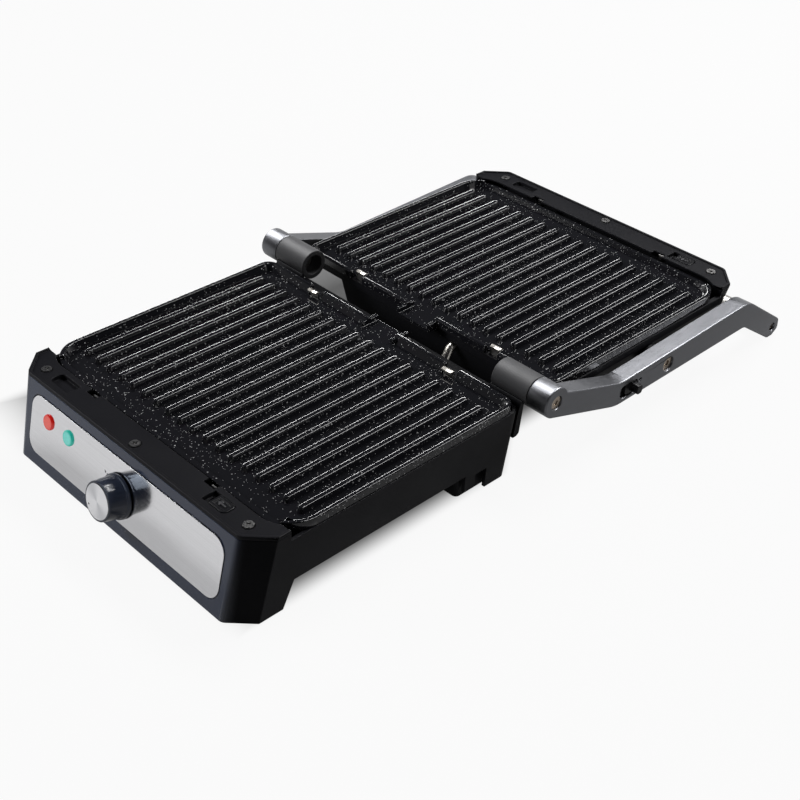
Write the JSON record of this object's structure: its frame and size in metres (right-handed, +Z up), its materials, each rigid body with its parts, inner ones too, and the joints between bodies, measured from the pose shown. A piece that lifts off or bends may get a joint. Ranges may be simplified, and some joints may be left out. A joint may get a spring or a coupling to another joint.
{
  "type": "panini press",
  "caption": "Contact grill opened flat: ribbed non-stick plates with grease spouts in a black base and a floating lid, carried by silver arms with a bar handle and a dial panel.",
  "frame": {"origin": "On the table under the middle of the opened press, on the mid plane between the two arms", "axes": "+X to the right of the user at the control panel, +Y from the control panel to the opened lid and its handle, +Z up"},
  "size_m": [0.3374, 0.6129, 0.081],
  "materials": {
    "matt_black_plastic": "fine matt moulding",
    "gloss_black_plastic": "polished blue-black",
    "button_plastic": "satin black",
    "inner_plastic": "plain moulding",
    "dark_sleeve": "dark grey satin",
    "nonstick": "speckled black non-stick coat on cast aluminium",
    "brushed_panel": "brushed sheet",
    "spun_cap": "spun face",
    "silver_arm": "satin silver",
    "handle_metal": "satin tube",
    "steel": "plain bright steel",
    "bright_tube": "bright flexible tube",
    "reflector_sheet": "mill sheet",
    "element_sheath": "heat-darkened sheath",
    "red_lens": "frosted red",
    "green_lens": "frosted blue-green",
    "rubber": "matt"
  },
  "bodies": {
    "base": {"base_housing": "matt_black_plastic", "bottom_pan": "matt_black_plastic", "rubber_feet": "rubber", "front_fascia": "gloss_black_plastic", "control_panel": "brushed_panel", "power_lens": "red_lens", "working_lens": "green_lens", "signal_lamps": "inner_plastic", "thermostat_body": "inner_plastic", "lower_deck": "matt_black_plastic", "lower_deck_screws": "steel", "lower_plate_hooks": "steel", "lower_reflector": "reflector_sheet", "lower_heating_element": "element_sheath", "terminal_block": "inner_plastic", "rear_ducts": "matt_black_plastic", "cord_gland": "button_plastic", "hinge_bracket_left": "matt_black_plastic", "hinge_bracket_right": "matt_black_plastic", "hinge_sleeve_left": "dark_sleeve", "hinge_sleeve_right": "dark_sleeve", "wire_conduit": "bright_tube"},
    "lower_grill_plate": {"lower_plate": "nonstick"},
    "thermostat_knob": {"knob_grip": "button_plastic", "knob_cap": "spun_cap", "thermostat_shaft": "steel"},
    "lower_release": {"lower_button": "button_plastic", "lower_latch": "steel"},
    "arms": {"arm_left": "silver_arm", "arm_right": "silver_arm", "hinge_pin_left": "steel", "hinge_pin_right": "steel", "hinge_screws": "steel", "pivot_screws": "steel", "handle_screws": "steel", "handle_bar": "handle_metal"},
    "lock_slider": {"hinge_lock": "button_plastic"},
    "lid": {"lid_cover": "matt_black_plastic", "lid_rims": "matt_black_plastic", "upper_deck": "matt_black_plastic", "upper_deck_screws": "steel", "upper_plate_hooks": "steel", "upper_reflector": "reflector_sheet", "upper_heating_element": "element_sheath"},
    "upper_grill_plate": {"upper_plate": "nonstick"},
    "upper_release": {"upper_button": "button_plastic", "upper_latch": "steel"}
  },
  "joints": [
    {"name": "lid_hinge", "type": "hinge", "parent": "base", "child": "arms", "pos_m": [0, -0.008, 0.068], "axis": [-1, 0, 0], "range_deg": [-180, 0], "deforming": ["wire_conduit"]},
    {"name": "lid_float", "type": "hinge", "parent": "arms", "child": "lid", "pos_m": [0, 0.1348, 0.0402], "axis": [1, 0, 0], "range_deg": [0, 9], "deforming": ["wire_conduit"]},
    {"name": "thermostat_turn", "type": "hinge", "parent": "base", "child": "thermostat_knob", "pos_m": [0, -0.28632, 0.0305], "axis": [0, -0.9721, 0.2346], "range_deg": [-270, 0]},
    {"name": "lower_plate_tilt", "type": "hinge", "parent": "base", "child": "lower_grill_plate", "pos_m": [0, -0.0285, 0.0615], "axis": [-1, 0, 0], "range_deg": [0, 18]},
    {"name": "upper_plate_tilt", "type": "hinge", "parent": "lid", "child": "upper_grill_plate", "pos_m": [0, 0.0125, 0.0585], "axis": [1, 0, 0], "range_deg": [0, 18]},
    {"name": "lower_release_slide", "type": "slide", "parent": "base", "child": "lower_release", "axis": [-1, 0, 0], "range_m": [0, 0.006], "stiffness_N_per_m": 500, "springref_m": -0.004},
    {"name": "upper_release_slide", "type": "slide", "parent": "lid", "child": "upper_release", "axis": [-1, 0, 0], "range_m": [0, 0.006], "stiffness_N_per_m": 500, "springref_m": -0.004},
    {"name": "hinge_lock_slide", "type": "slide", "parent": "arms", "child": "lock_slider", "axis": [0, -1, 0], "range_m": [0, 0.007]}
  ]
}
